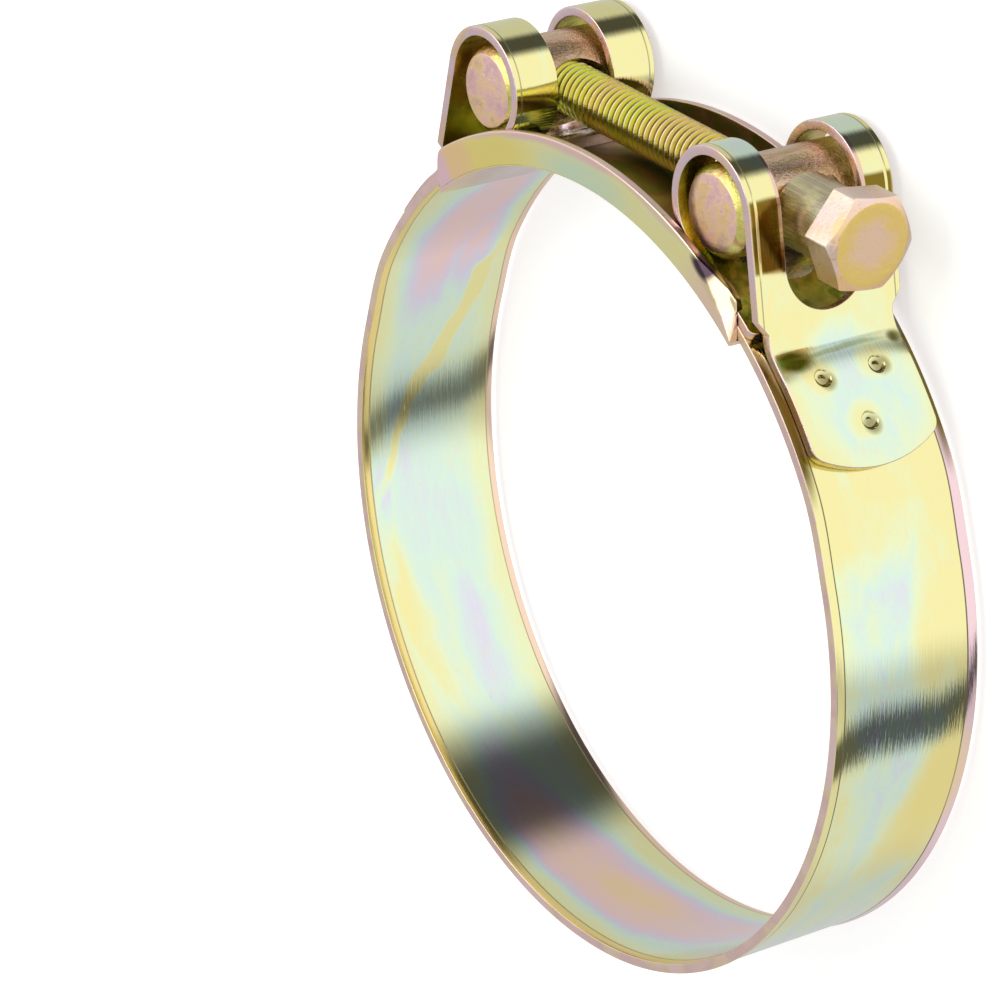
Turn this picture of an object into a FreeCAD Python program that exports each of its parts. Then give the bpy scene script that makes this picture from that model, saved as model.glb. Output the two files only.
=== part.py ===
import FreeCAD, Part
import math
import os

# Heavy-duty single-bolt hose clamp, lying flat on its side.
# Frame: origin at the centre of the bore at mid width, +Z up along the bore axis,
# +Y toward the gap with the bolt over it, +X toward the head of the bolt.
# Lengths are millimetres. Polar angles are degrees from +X, growing toward +Y.

V = FreeCAD.Vector

# Bore and band strip
bore_radius = 60.0
band_thickness = 1.5
band_half_width = 12.3
edge_flare = 0.25          # how far each edge of the band turns outward
edge_flare_width = 1.4     # width of the turned edge, measured along the axis
flare_blend = 0.3          # the outer crease lies this much further in
bolt_band_angle = 68.0     # band end under the head side
nut_band_angle = 103.7     # band end that slides in the bridge
ramp_low_angle = 20.0      # the band rises off the bore between these two angles
ramp_high_angle = 33.0
nut_ramp_low_angle = 164.0   # the same rise on the sliding side, clear of the floor end
nut_ramp_high_angle = 151.0

# Bridge under the gap
floor_thickness = 1.0
bridge_gap = 0.05          # between the floor and the band that slides on it
bridge_inset = 1.22        # the floor starts this far past the end of the inner leg
bridge_left_angle = 130.3  # free floor end
bridge_tail_inset = 0.3    # past the flanges the floor is this much narrower than the band
side_gap = 0.2             # between the band edge and each flange
flange_thickness = 1.2
flange_left_angle = 127.65
flange_slope = 3.76        # how far the flange end by the head leans back toward its top
flange_left_slope = 2.93   # the same at the free end
flange_corner = 2.2
bend_round = 0.8
lip_gap = 0.1
lip_width = 2.6            # inward reach of the crimped lips
lip_length = 4.2           # measured round the bore

# Folded brackets
strip = 1.5
seat_gap = 0.1             # between the band and the bracket welded on it
bracket_half_width = 12.2
loop_inner = 7.5
leg_lean_angle = 12.0      # lean of the outer leg away from the bore axis plane
leg_bend = 4.0             # radius of the bend between leg and tongue, mid strip
tongue_length = 18.0       # from the bend to the end, measured round the bore
tongue_half_width = 10.65
tongue_corner = 2.4
tongue_end_radius = 19.3
tongue_spare_angle = 6.0   # cut away again when the tongue end is rounded
inner_leg_gap = 3.9        # from the bend to the end of the inner leg
inner_slot_rise = 6.86     # from the end of the inner leg to its slot
outer_slot_rise = 2.61     # from the bend to the slot in the outer leg
bolt_slot_half = 6.8
nut_slot_half = 4.8
shoulder = 1.7
dimple_radius = 1.45
dimple_pip = 0.55
dimple_depth = 0.35
dimple_pair_rise = 13.5    # from the end of the tongue
dimple_single_rise = 6.3
dimple_spread = 4.6

# Cross pins
pin_radius = 6.7
pin_half_length = 11.6
pin_chamfer = 1.2
pin_seat = 0.1             # running gap between a pin and the leg under it
seat_flat = 5.2            # from the pin axis to the flat under the spacer
seat_radius = 6.2
clear_hole = 4.25
lead_depth = 2.0           # countersink at the inner mouth of the thread

# Bolt and spacer
bolt_radius = 4.0
bolt_clearance = 0.31      # between the bolt and the floor under it
thread_fit = 0.05
bolt_length = 80.0
bolt_end_chamfer = 0.9
head_flats = 13.0
head_height = 5.3
head_face_radius = 5.8
head_turn_angle = 7.8      # rotation of the hexagon about the bolt axis
spacer_length = 9.8
spacer_outer = 5.45
spacer_inner = 4.3

# Derived sizes
lap_radius = bore_radius + floor_thickness + bridge_gap
lap_outer = lap_radius + band_thickness
lap_flare = seat_gap / 2
leg_inside = lap_outer + seat_gap
leg_middle = leg_inside + strip / 2
leg_outside = leg_inside + strip
loop_middle = loop_inner + strip / 2
loop_distance = leg_middle + loop_middle
pin_distance = leg_outside + pin_seat + pin_radius
pin_y = bore_radius + floor_thickness + bolt_clearance + bolt_radius
pin_x = math.sqrt(pin_distance ** 2 - pin_y ** 2)
loop_angle = math.degrees(math.atan2(pin_y, pin_x))
leg_line = loop_distance * math.cos(math.radians(loop_angle - leg_lean_angle)) + loop_middle
bend_along = leg_line + leg_bend
bend_across = math.sqrt((leg_middle + leg_bend) ** 2 - bend_along ** 2)
bend_angle = leg_lean_angle + math.degrees(math.atan2(bend_across, bend_along))
tongue_angle = bend_angle - math.degrees(tongue_length / leg_middle)
inner_leg_angle = bend_angle + math.degrees(inner_leg_gap / leg_middle)
inner_slot_angle = inner_leg_angle + math.degrees(inner_slot_rise / leg_middle)
bridge_right_angle = inner_leg_angle + math.degrees(bridge_inset / leg_middle)
slope_angle = math.degrees(flange_slope / leg_middle)
left_slope_angle = math.degrees(flange_left_slope / leg_middle)
head_under = pin_x + seat_flat + spacer_length
flange_inside = band_half_width + side_gap
flange_outside = flange_inside + flange_thickness
flange_top = leg_outside + lip_gap + floor_thickness


def polar(radius, angle, z=0.0):
    a = math.radians(angle)
    return V(radius * math.cos(a), radius * math.sin(a), z)


def arc(centre, radius, start, end):
    ends = [centre + polar(radius, a) for a in (start, (start + end) / 2, end)]
    return Part.Arc(*ends).toShape()


def line(a, b):
    return Part.makeLine(a, b)


def sector(inner, outer, start, end, low, high):
    # Solid piece of a ring between two polar angles and two heights.
    o = V(0, 0, 0)
    edges = [arc(o, outer, start, end), line(polar(outer, end), polar(inner, end)),
             arc(o, inner, end, start), line(polar(inner, start), polar(outer, start))]
    face = Part.Face(Part.Wire(edges))
    face.translate(V(0, 0, low))
    return face.extrude(V(0, 0, high - low))


def band_section(inner, angle, flare=edge_flare):
    # Cross-section of the band at one polar angle, with both edges turned outward.
    w = band_half_width
    c = band_half_width - edge_flare_width
    t = band_thickness
    b = band_half_width - edge_flare_width - flare_blend
    out = inner + flare
    pairs = [(inner, -c), (inner, c), (out, w), (out + t, w),
             (inner + t, b), (inner + t, -b), (out + t, -w), (out, -w)]
    points = [polar(r, angle, z) for r, z in pairs]
    return Part.makePolygon(points + points[:1])


def band_turn(inner, start, sweep, flare=edge_flare):
    face = Part.Face(band_section(inner, start, flare))
    return face.revolve(V(0, 0, 0), V(0, 0, 1), sweep)


def band_ramp(low_angle, high_angle):
    # Smooth rise from the bore radius at the first angle to the lap radius at the second.
    wires = []
    steps = 6
    for i in range(steps + 1):
        s = i / steps
        share = 3 * s * s - 2 * s * s * s
        rise = (lap_radius - bore_radius) * share
        flare = edge_flare + (lap_flare - edge_flare) * share
        wires.append(band_section(bore_radius + rise, low_angle + (high_angle - low_angle) * s, flare))
    return Part.makeLoft(wires, True, False)


def make_band():
    main = band_turn(bore_radius, nut_ramp_low_angle, 360 - nut_ramp_low_angle + ramp_low_angle)
    bolt_lap = band_turn(lap_radius, ramp_high_angle, bolt_band_angle - ramp_high_angle, lap_flare)
    nut_lap = band_turn(lap_radius, nut_band_angle, nut_ramp_high_angle - nut_band_angle, lap_flare)
    bolt_ramp = band_ramp(ramp_low_angle, ramp_high_angle)
    nut_ramp = band_ramp(nut_ramp_low_angle, nut_ramp_high_angle)
    band = main.fuse([bolt_ramp, nut_ramp, bolt_lap, nut_lap])
    return band.removeSplitter()


def make_bridge():
    # Shallow channel inside the gap: curved floor, two side flanges and two crimped lips.
    floor_outer = bore_radius + floor_thickness
    right = bridge_right_angle
    floor = sector(bore_radius, floor_outer, right, flange_left_angle, -flange_outside, flange_outside)
    low_edges = [e for e in floor.Edges
                 if abs(e.Vertexes[0].Z) > flange_inside and abs(e.Vertexes[0].Z - e.Vertexes[-1].Z) < 0.01
                 and abs(math.hypot(e.CenterOfMass.x, e.CenterOfMass.y)) < bore_radius
                 and abs(math.hypot(e.Vertexes[0].X, e.Vertexes[0].Y) - bore_radius) < 0.01
                 and abs(math.hypot(e.Vertexes[-1].X, e.Vertexes[-1].Y) - bore_radius) < 0.01]
    floor = floor.makeFillet(bend_round, low_edges)
    tail_half = band_half_width - bridge_tail_inset
    tail = sector(bore_radius, floor_outer, right, bridge_left_angle, -tail_half, tail_half)
    root = bore_radius + floor_thickness / 2 + bend_round / 2
    o = V(0, 0, 0)
    top_right = right + slope_angle
    top_left = flange_left_angle - left_slope_angle
    edges = [arc(o, flange_top, top_right, top_left),
             line(polar(flange_top, top_left), polar(root, flange_left_angle)),
             arc(o, root, flange_left_angle, right),
             line(polar(root, right), polar(flange_top, top_right))]
    plate = Part.Face(Part.Wire(edges)).extrude(V(0, 0, flange_thickness))
    corners = [e for e in plate.Edges
               if abs(e.Vertexes[0].Z - e.Vertexes[-1].Z) > flange_thickness / 2
               and math.hypot(e.Vertexes[0].X, e.Vertexes[0].Y) > flange_top - 0.01
               and e.Vertexes[0].X < 0]
    plate = plate.makeFillet(flange_corner, corners)
    near = plate.translated(V(0, 0, flange_inside))
    far = plate.translated(V(0, 0, -flange_outside))
    lip_low = leg_outside + lip_gap
    lip_left = top_right + math.degrees(lip_length / leg_middle)
    lip_inside = flange_inside - lip_width / 2
    near_lip = sector(lip_low, flange_top, top_right, lip_left, lip_inside, flange_outside)
    far_lip = sector(lip_low, flange_top, top_right, lip_left, -flange_outside, -lip_inside)
    return floor.fuse([tail, near, far, near_lip, far_lip]).removeSplitter()


def strip_profile(loop_centre, bend_centre):
    # Closed outline of the folded strip: tongue, bend, outer leg, loop, inner leg.
    o = V(0, 0, 0)
    half = strip / 2
    lean = leg_lean_angle
    start = tongue_angle - tongue_spare_angle
    n = polar(1.0, lean)
    big = loop_middle + half
    small = loop_middle - half
    edges = [arc(o, leg_outside, start, bend_angle),
             arc(bend_centre, leg_bend - half, bend_angle + 180, lean + 180),
             line(bend_centre - n * (leg_bend - half), loop_centre + n * big),
             arc(loop_centre, big, lean, loop_angle + 180),
             arc(o, leg_inside, loop_angle, inner_leg_angle),
             line(polar(leg_inside, inner_leg_angle), polar(leg_outside, inner_leg_angle)),
             arc(o, leg_outside, inner_leg_angle, loop_angle),
             arc(loop_centre, small, loop_angle + 180, lean),
             line(loop_centre + n * small, bend_centre - n * (leg_bend + half)),
             arc(bend_centre, leg_bend + half, lean + 180, bend_angle + 180),
             arc(o, leg_inside, bend_angle, start),
             line(polar(leg_inside, start), polar(leg_outside, start))]
    return Part.Face(Part.Wire(edges))


def make_bracket(slot_half):
    # Bracket of the head side. The slot leaves two loops round the cross pin.
    loop_centre = polar(loop_distance, loop_angle)
    n = polar(1.0, leg_lean_angle)
    m = polar(1.0, leg_lean_angle + 90)
    bend_centre = n * bend_along + m * bend_across
    slot_bottom = bend_across + outer_slot_rise
    w = bracket_half_width
    face = strip_profile(loop_centre, bend_centre)
    face.translate(V(0, 0, -w))
    body = face.extrude(V(0, 0, 2 * w))

    # Slot: open across the loop, round at its end in the outer leg and in the inner leg.
    reach = loop_distance
    s = slot_half
    turn = FreeCAD.Rotation(V(0, 0, 1), leg_lean_angle)
    open_part = Part.makeBox(2 * reach, reach, 2 * s, V(-reach / 2, slot_bottom + s, -s))
    open_part.Placement = FreeCAD.Placement(V(0, 0, 0), turn).multiply(open_part.Placement)
    outer_end = Part.makeCylinder(s, 4 * strip, n * (leg_line - 2 * strip) + m * (slot_bottom + s), n)
    inner_centre = inner_slot_angle + math.degrees(math.asin(s / leg_middle))
    inner_base = polar(leg_inside - strip, inner_centre)
    inner_end = Part.makeCylinder(s, 3 * strip, inner_base, polar(1.0, inner_centre))
    inner_part = Part.makeBox(3 * strip, loop_distance / 6, 2 * s, V(leg_inside - strip, 0, -s))
    inner_part.rotate(V(0, 0, 0), V(0, 0, 1), inner_centre)
    body = body.cut(open_part.fuse([outer_end, inner_end, inner_part]).removeSplitter())

    # Shoulders: below them the tongue is narrow enough to lie between the turned edges.
    t = tongue_half_width
    wide = w + strip
    cuts = []
    for side in (1, -1):
        pts = [(slot_bottom, wide), (slot_bottom, w), (slot_bottom - shoulder, t), (0, t), (0, wide)]
        outline = [m * a + V(0, 0, side * z) for a, z in pts]
        wedge = Part.Face(Part.makePolygon(outline + outline[:1]))
        wedge.translate(n * (bore_radius / 2))
        cuts.append(wedge.extrude(n * bore_radius))
    body = body.cut(cuts)

    # Rounded end of the tongue.
    radius = tongue_end_radius
    middle = tongue_angle + math.degrees(math.asin(radius / leg_outside))
    disc = Part.makeCylinder(radius, 6 * strip, polar(leg_inside - 2 * strip, middle), polar(1.0, middle))
    slab = Part.makeBox(4 * radius, 4 * radius, 2 * t, V(-2 * radius, -2 * radius, -t))
    slab.translate(polar(leg_middle, middle))
    keep = disc.common(slab)
    e_dir = polar(1.0, middle)
    down = polar(1.0, middle - 90)
    corners = [e for e in keep.Edges
               if abs(abs((e.Vertexes[0].Point - e.Vertexes[-1].Point).dot(e_dir)) - 6 * strip) < 0.01
               and abs(abs(e.Vertexes[0].Z) - t) < 0.01 and e.Vertexes[0].Point.dot(down) > 0]
    keep = keep.makeFillet(tongue_corner, corners)
    low = tongue_angle - 2 * tongue_spare_angle
    high = tongue_angle + 2 * tongue_spare_angle
    region = sector(leg_inside - strip, leg_outside + strip, low, high, -wide, wide)
    body = body.cut(region.cut(keep))

    # Three weld dimples, each a shallow ring with a pip left in the middle.
    pair, single = dimple_pair_rise, dimple_single_rise
    for rise, z in ((pair, dimple_spread), (pair, -dimple_spread), (single, 0.0)):
        angle = tongue_angle + math.degrees(rise / leg_middle)
        base = polar(leg_outside - dimple_depth, angle, z)
        ring = Part.makeCylinder(dimple_radius, strip, base, polar(1.0, angle))
        pip = Part.makeCylinder(dimple_pip, strip, base, polar(1.0, angle))
        body = body.cut(ring.cut(pip))
    return body


def make_pin():
    # Round cross pin along Z on its own axis at the head side, ends chamfered.
    base = V(pin_x, pin_y, -pin_half_length)
    pin = Part.makeCylinder(pin_radius, 2 * pin_half_length, base, V(0, 0, 1))
    rims = [e for e in pin.Edges if len(e.Vertexes) == 1 or e.isClosed()]
    return pin.makeChamfer(pin_chamfer, rims)


def make_plain_trunnion():
    pin = make_pin()
    hole = Part.makeCylinder(clear_hole, 4 * pin_radius, V(pin_x - 2 * pin_radius, pin_y, 0), V(1, 0, 0))
    seat = Part.makeCylinder(seat_radius, pin_radius, V(pin_x + seat_flat, pin_y, 0), V(1, 0, 0))
    return pin.cut([hole, seat])


def make_threaded_trunnion():
    pin = make_pin().mirror(V(0, 0, 0), V(1, 0, 0))
    r = bolt_radius + thread_fit
    hole = Part.makeCylinder(r, 4 * pin_radius, V(-pin_x - 2 * pin_radius, pin_y, 0), V(1, 0, 0))
    mouth = V(-pin_x + pin_radius - lead_depth, pin_y, 0)
    lead = Part.makeCone(r, r + lead_depth, lead_depth, mouth, V(1, 0, 0))
    return pin.cut([hole, lead])


def make_spacer():
    start = V(pin_x + seat_flat, pin_y, 0)
    tube = Part.makeCylinder(spacer_outer, spacer_length, start, V(1, 0, 0))
    hole = Part.makeCylinder(spacer_inner, spacer_length, start, V(1, 0, 0))
    return tube.cut(hole)


def make_bolt():
    corner = head_flats / math.sqrt(3)
    points = []
    for i in range(6):
        a = math.radians(head_turn_angle + 60 * i)
        points.append(V(head_under, pin_y + corner * math.sin(a), corner * math.cos(a)))
    prism = Part.Face(Part.makePolygon(points + points[:1])).extrude(V(head_height, 0, 0))
    top = head_under + head_height
    wide = corner + head_height / 5
    fall = (wide - head_face_radius) * math.tan(math.radians(30))
    outline = [V(head_under, 0, 0), V(head_under, wide, 0), V(top - fall, wide, 0),
               V(top, head_face_radius, 0), V(top, 0, 0)]
    turned = Part.Face(Part.makePolygon(outline + outline[:1])).revolve(V(0, 0, 0), V(1, 0, 0), 360)
    turned.translate(V(0, pin_y, 0))
    head = prism.common(turned)
    shank = Part.makeCylinder(bolt_radius, bolt_length, V(head_under - bolt_length, pin_y, 0), V(1, 0, 0))
    tip = [e for e in shank.Edges if e.isClosed() and e.CenterOfMass.x < 0]
    shank = shank.makeChamfer(bolt_end_chamfer, tip)
    return head.fuse(shank).removeSplitter()


def main():
    os.makedirs("parts", exist_ok=True)
    shapes = {
        "band": make_band(),
        "bridge": make_bridge(),
        "bolt_side_bracket": make_bracket(bolt_slot_half),
        "nut_side_bracket": make_bracket(nut_slot_half).mirror(V(0, 0, 0), V(1, 0, 0)),
        "plain_trunnion": make_plain_trunnion(),
        "threaded_trunnion": make_threaded_trunnion(),
        "bolt": make_bolt(),
        "spacer_sleeve": make_spacer(),
    }
    for name, shape in shapes.items():
        if shape.ShapeType != "Solid" and len(shape.Solids) == 1:
            shape = shape.Solids[0]
        box = shape.BoundBox
        print(name, shape.isValid(), len(shape.Solids), round(shape.Volume, 1),
              [round(v, 2) for v in (box.XMin, box.XMax, box.YMin, box.YMax, box.ZMin, box.ZMax)])
        shape.exportStep("parts/" + name + ".step")


main()
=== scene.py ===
# %% [markdown]
# # A heavy single-bolt hose clamp
# The clamp is a round strip of sheet steel, closed over a gap by one bolt that pulls two
# cross pins together. Everything is zinc plated and passivated yellow, a finish that is
# bright as chrome but carries a thin film with soft patches of mint, straw and pink.
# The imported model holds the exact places, so each piece here is made in the same
# millimetres, and is brought to metres at the end.

# %% Load the frame
import math

import bmesh
import bpy
from mathutils import Matrix, Vector


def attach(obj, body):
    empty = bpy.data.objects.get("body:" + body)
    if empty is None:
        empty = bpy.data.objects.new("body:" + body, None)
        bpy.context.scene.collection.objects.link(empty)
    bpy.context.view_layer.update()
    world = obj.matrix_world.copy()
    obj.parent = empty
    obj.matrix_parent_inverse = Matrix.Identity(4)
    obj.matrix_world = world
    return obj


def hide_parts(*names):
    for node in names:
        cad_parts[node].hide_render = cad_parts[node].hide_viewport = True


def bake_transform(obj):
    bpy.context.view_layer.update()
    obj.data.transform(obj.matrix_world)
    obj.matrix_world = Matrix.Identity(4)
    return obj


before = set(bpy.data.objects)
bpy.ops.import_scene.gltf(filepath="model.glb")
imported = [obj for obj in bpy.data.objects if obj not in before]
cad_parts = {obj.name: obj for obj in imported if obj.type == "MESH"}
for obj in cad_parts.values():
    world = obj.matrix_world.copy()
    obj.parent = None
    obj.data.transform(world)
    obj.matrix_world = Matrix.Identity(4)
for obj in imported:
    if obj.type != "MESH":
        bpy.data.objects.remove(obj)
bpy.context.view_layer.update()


# %% [markdown]
# A shape is drawn in a bmesh, written out as a mesh, and shows once an object that holds
# it is linked to the scene. Two helpers do that.

# %% Put things in the scene
def as_mesh(bm, name):
    mesh = bpy.data.meshes.new(name)
    bm.to_mesh(mesh)
    bm.free()
    return mesh


def put(name, data):
    thing = bpy.data.objects.new(name, data)
    bpy.context.scene.collection.objects.link(thing)
    return thing


# %% [markdown]
# ## The camera
# The long lens and the steep look from the upper right come from lining up the rims of
# the band, the loops and the pins with the picture. The camera comes first, so that each
# later piece can be looked at as soon as it is made.

# %% Set the camera
view = bpy.data.cameras.new("view")
view.lens = 150.156
view.sensor_width = 36.0
view.clip_start = 0.01
camera = put("camera", view)
camera.location = (0.44719, 0.27388, 0.32942)
camera.rotation_euler = [math.radians(a) for a in (-23.943, 56.409, 2.049)]
bpy.context.scene.camera = camera
bpy.context.scene.view_settings.view_transform = "Standard"
print("camera", round(camera.location.length, 3), "m from the centre of the bore")


# %% [markdown]
# ## A short way to write shader maths
# A material is a small circuit of nodes. Two classes keep it readable: a wire is one
# output, and arithmetic on it adds Math nodes, so `1 - mask * 0.5` is three nodes wired
# up. The bench makes any other node from its type, its settings and its inputs. Colours
# are written as they look on a screen and turned linear by `tone`.

# %% Wires and the bench
class Wire:
    def __init__(self, bench, socket):
        self.bench, self.socket = bench, socket

    def math(self, operation, *others):
        return self.bench.add("ShaderNodeMath", {"operation": operation}, self, *others)

    def __add__(self, other):
        return self.math("ADD", other)

    def __mul__(self, other):
        return self.math("MULTIPLY", other)

    __radd__, __rmul__ = __add__, __mul__

    def __sub__(self, other):
        return self.math("SUBTRACT", other)

    def __rsub__(self, other):
        return self.bench.add("ShaderNodeMath", {"operation": "SUBTRACT"}, other, self)

    def __pow__(self, other):
        return self.math("POWER", other)

    def __abs__(self):
        return self.math("ABSOLUTE")


class Bench:
    def __init__(self, tree):
        self.tree = tree
        tree.nodes.clear()

    def add(self, kind, settings=None, *inputs, out=0, **named):
        node = self.tree.nodes.new(kind)
        for key, value in (settings or {}).items():
            if key == "stops":
                elements = node.color_ramp.elements
                for place, colour in value[2:]:
                    elements.new(place)
                for stop, (place, colour) in zip(elements, value):
                    stop.position, stop.color = place, colour
            else:
                setattr(node, key, value)
        places = list(enumerate(inputs)) + [(k.replace("_", " "), v) for k, v in named.items()]
        for place, value in places:
            if isinstance(value, Wire):
                self.tree.links.new(value.socket, node.inputs[place])
            elif value is not None:
                node.inputs[place].default_value = value
        return Wire(self, node.outputs[out]) if node.outputs else node

    def noise(self, vector, scale, detail=2.0, roughness=0.5, distortion=0.0):
        return self.add("ShaderNodeTexNoise", None, Vector=vector, Scale=scale, Detail=detail,
                        Roughness=roughness, Distortion=distortion)

    def stretch(self, vector, scale, place=(0.0, 0.0, 0.0)):
        return self.add("ShaderNodeMapping", None, Vector=vector, Scale=scale, Location=place)

    def drawn(self, vector, scale, detail, roughness=0.5, distortion=0.0, place=(0.0, 0.0, 0.0)):
        """A noise on a stretched map, whose spots run with the rolling or the drawing."""
        return self.noise(self.stretch(vector, scale, place), 1.0, detail, roughness, distortion)

    def split(self, vector):
        outputs = self.add("ShaderNodeSeparateXYZ", None, vector).socket.node.outputs
        return [Wire(self, output) for output in outputs]

    def step(self, value, low, high, start=0.0, end=1.0):
        return self.add("ShaderNodeMapRange", {"interpolation_type": "SMOOTHSTEP"},
                        value, low, high, start, end)

    def ramp(self, share, stops):
        return self.add("ShaderNodeValToRGB", {"stops": stops}, share)

    def mix(self, share, a, b):
        """Mixes two colours. The five sockets skipped are for numbers and vectors."""
        skipped = [None] * 5
        return self.add("ShaderNodeMix", {"data_type": "RGBA"}, share, *skipped, a, b, out=2)

    def here(self):
        """A point's place in the piece's own space."""
        return self.add("ShaderNodeTexCoord", out=3)


def tone(red, green, blue):
    """A colour as the eye reads it on a screen, turned to the linear one that nodes use."""
    def linear(c):
        return c / 12.92 if c <= 0.04045 else ((c + 0.055) / 1.055) ** 2.4
    return (linear(red), linear(green), linear(blue), 1.0)


def walk(*stops):
    """The stops of a colour ramp, each given as its place and then its red, green and blue."""
    return [(place, tone(*colour)) for place, *colour in stops]


print("mint is", [round(c, 2) for c in tone(0.84, 0.94, 0.88)])


# %% [markdown]
# ## The studio
# Bright metal shows the room and little else. The room here is a pale tent with one
# brighter side, a soft box above, and two dark cards. Each wall of the band mirrors the
# tent at one height, so a card gives a clean dark stripe across it, which is what tells
# the eye that the sheet is glossy and round. Only mirror rays see the cards. Other rays
# see an even pale tent, and the camera sees white.

# %% The tent and its cards
world = bpy.data.worlds.new("tent")
bpy.context.scene.world = world
world.use_nodes = True
bench = Bench(world.node_tree)
x_way, y_way, z_way = bench.split(bench.add("ShaderNodeTexCoord"))
turn = y_way.math("ARCTAN2", x_way) * (180 / math.pi)


def sector_mask(centre, half, soft, lean=None):
    """1 inside a slice of the tent round the vertical, 0 outside, with a soft rim."""
    away = turn - centre if lean is None else turn - centre - lean
    wrapped = away.math("WRAP", 180.0, -180.0)
    return bench.step(abs(wrapped), half, half + soft, 1.0, 0.0)


bright_side = sector_mask(24.0, 36.0, 13.0)
low_glow = sector_mask(-62.0, 12.0, 26.0) * bench.step(z_way, -0.1, 0.1, 1.0, 0.0)
soft_box = sector_mask(118.0, 60.0, 22.0) * bench.step(z_way, 0.2, 0.42)
soft_box = soft_box * bench.step(z_way, 0.86, 0.96, 1.0, 0.0)

# The narrow card leans and grows toward the ground, which slants its stripe on the band.
lean = (z_way.math("MINIMUM", -0.36) + 0.53) * 95.0
card_half = bench.step(z_way, -0.545, -0.50, 4.3, 2.6)
narrow_card = sector_mask(-34.0, card_half, 5.5, lean) * 0.85
narrow_card = narrow_card * bench.step(z_way, 0.3, 0.5, 1.0, 0.0)
wide_card = sector_mask(91.0, 10.5, 17.0) * bench.step(z_way, 0.56, 0.68, 1.0, 0.0)

level = 0.62 + bright_side * 0.40 + low_glow * 0.14 + soft_box * 0.44
level = level * (1 - narrow_card) * (1 - wide_card * 0.88)
mirror_light = bench.add("ShaderNodeBackground", None, (1.0, 0.995, 0.98, 1.0), level)
even_light = bench.add("ShaderNodeBackground", None, (1.0, 1.0, 1.0, 1.0), 0.75)
white = bench.add("ShaderNodeBackground", None, (1.0, 1.0, 1.0, 1.0), 1.0)
path = bench.add("ShaderNodeLightPath").socket.node
sees = {name: Wire(bench, path.outputs[name]) for name in ("Is Camera Ray", "Is Glossy Ray")}
inside = bench.add("ShaderNodeMixShader", None, sees["Is Glossy Ray"], even_light, mirror_light)
shown = bench.add("ShaderNodeMixShader", None, sees["Is Camera Ray"], inside, white)
bench.add("ShaderNodeOutputWorld", None, shown)
print("tent of", len(world.node_tree.nodes), "nodes")


# %% [markdown]
# The clamp lies on its side on a pale floor. The floor is lit by one wide soft lamp and
# keeps the soft shadow, and its own colour is lifted for the camera until it is white.

# %% The floor and the lamp
floor_height = -0.0137
bm = bmesh.new()
bmesh.ops.create_grid(bm, x_segments=1, y_segments=1, size=1.5)
bmesh.ops.translate(bm, verts=bm.verts, vec=(0, 0, floor_height))
floor = put("floor", as_mesh(bm, "floor"))
floor.visible_glossy = False

paper = bpy.data.materials.new("paper")
paper.use_nodes = True
bench = Bench(paper.node_tree)
matt = bench.add("ShaderNodeBsdfDiffuse", None, (0.86, 0.86, 0.86, 1.0))
glow = bench.add("ShaderNodeEmission", None, (1.0, 1.0, 1.0, 1.0), 0.46)
path = bench.add("ShaderNodeLightPath")
nothing = bench.add("ShaderNodeEmission", None, (0.0, 0.0, 0.0, 1.0), 0.0)
lift = bench.add("ShaderNodeMixShader", None, path, nothing, glow)
bench.add("ShaderNodeOutputMaterial", None, bench.add("ShaderNodeAddShader", None, matt, lift))
floor.data.materials.append(paper)

lamp = bpy.data.lights.new("soft_lamp", "AREA")
lamp.shape, lamp.size, lamp.energy = "DISK", 0.9, 3.2
soft_lamp = put("soft_lamp", lamp)
soft_lamp.location = (-0.25, 0.45, 0.9)
soft_lamp.rotation_euler = Vector(soft_lamp.location).to_track_quat("Z", "Y").to_euler()
print("floor at", floor_height)


# %% [markdown]
# ## The film on the zinc
# The passivated film is thinner than a wave of light. Where it grows thicker its colour
# walks from straw through rose and lilac to mint, and round again. So the finish is one
# slow noise for the thickness, read through a ramp of those colours, over a full metal
# shader. A second, long-drawn noise follows the rolling direction of the sheet and moves
# both the colour and the roughness, so the patches run with the strip.

# %% Colours of the film
YELLOW = tone(0.97, 0.94, 0.68)
PALE_GREEN = tone(0.93, 0.97, 0.80)
MINT = tone(0.87, 0.96, 0.90)
LILAC = tone(0.90, 0.88, 0.95)
ROSE = tone(0.97, 0.85, 0.87)
PEACH = tone(0.99, 0.87, 0.77)
AMBER = tone(0.98, 0.89, 0.60)
# Painted shade for the line along the crease groove.
CREASE_SHADE = tone(0.30, 0.25, 0.16)
OLIVE = tone(0.44, 0.37, 0.16)
FILM_WALK = [(0.0, YELLOW), (0.2, PALE_GREEN), (0.36, MINT), (0.52, LILAC), (0.68, ROSE),
             (0.84, PEACH), (1.0, AMBER)]


def metal(name, paint):
    """A metal. `paint` gets the bench and gives colour, roughness, and bumps with their depth."""
    material = bpy.data.materials.new(name)
    material.use_nodes = True
    bench = Bench(material.node_tree)
    colour, roughness, (bumps, depth) = paint(bench)
    normal = bench.add("ShaderNodeBump", None, Strength=1.0, Distance=depth, Height=bumps)
    shader = bench.add("ShaderNodeBsdfPrincipled", None, Base_Color=colour, Metallic=1.0,
                       Roughness=roughness, Normal=normal)
    bench.add("ShaderNodeOutputMaterial", None, shader)
    return material


def blob(bench, u, v, place, size, slant=0.0):
    """A soft patch on the sheet map, in millimetres: 1 in its middle, 0 outside it."""
    across = (u - place[0] * 0.001) * (1000 / size[0])
    over = (v - place[1] * 0.001 - (u - place[0] * 0.001) * slant) * (1000 / size[1])
    return bench.step(across * across + over * over, 0.0, 1.15, 1.0, 0.0)


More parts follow.
